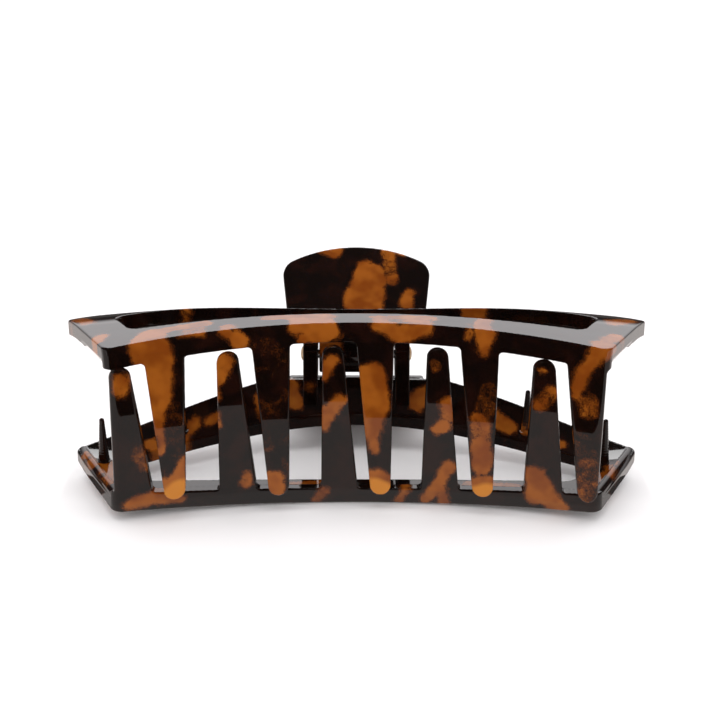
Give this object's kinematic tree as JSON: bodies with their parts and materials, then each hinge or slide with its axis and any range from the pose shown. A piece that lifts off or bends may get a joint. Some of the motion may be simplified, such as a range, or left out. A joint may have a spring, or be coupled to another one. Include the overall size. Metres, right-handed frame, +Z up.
{
  "type": "claw clip",
  "caption": "Wide hair claw clip: two arched, windowed acetate jaws with crossing teeth and fan levers, sprung shut on a cross pin.",
  "frame": {"origin": "middle of the hinge pin, between the two jaws", "axes": "+X along the hinge pin, towards the clip's right side seen from the teeth; +Y from the teeth towards the hinge and levers; +Z up, from the lower jaw to the upper jaw; the jaws meet on the plane Z = 0"},
  "size_m": [0.1098, 0.0601, 0.0366],
  "materials": {
    "tortoise": "polished tortoiseshell acetate, dark brown with amber patches",
    "clear_amber": "clear domed resin over the pin's end",
    "steel": "bright spring steel"
  },
  "bodies": {
    "lower": {"lower_jaw": "tortoise", "lower_lug_left": "tortoise", "lower_lug_right": "tortoise", "hinge_pin": "steel", "pin_cap_left": "clear_amber", "pin_cap_right": "clear_amber", "torsion_spring": "steel", "grip_peg_1": "tortoise", "grip_peg_2": "tortoise", "grip_peg_3": "tortoise", "grip_peg_4": "tortoise", "grip_peg_5": "tortoise", "grip_peg_6": "tortoise"},
    "upper": {"upper_jaw": "tortoise", "upper_barrel": "tortoise"}
  },
  "joints": [
    {"name": "jaw_hinge", "type": "hinge", "parent": "lower", "child": "upper", "pos_m": [0, 0, 0], "axis": [-1, 0, 0], "range_deg": [0, 70], "stiffness_Nm_per_rad": 0.12, "springref_deg": -51.57, "deforming": ["torsion_spring"]}
  ]
}
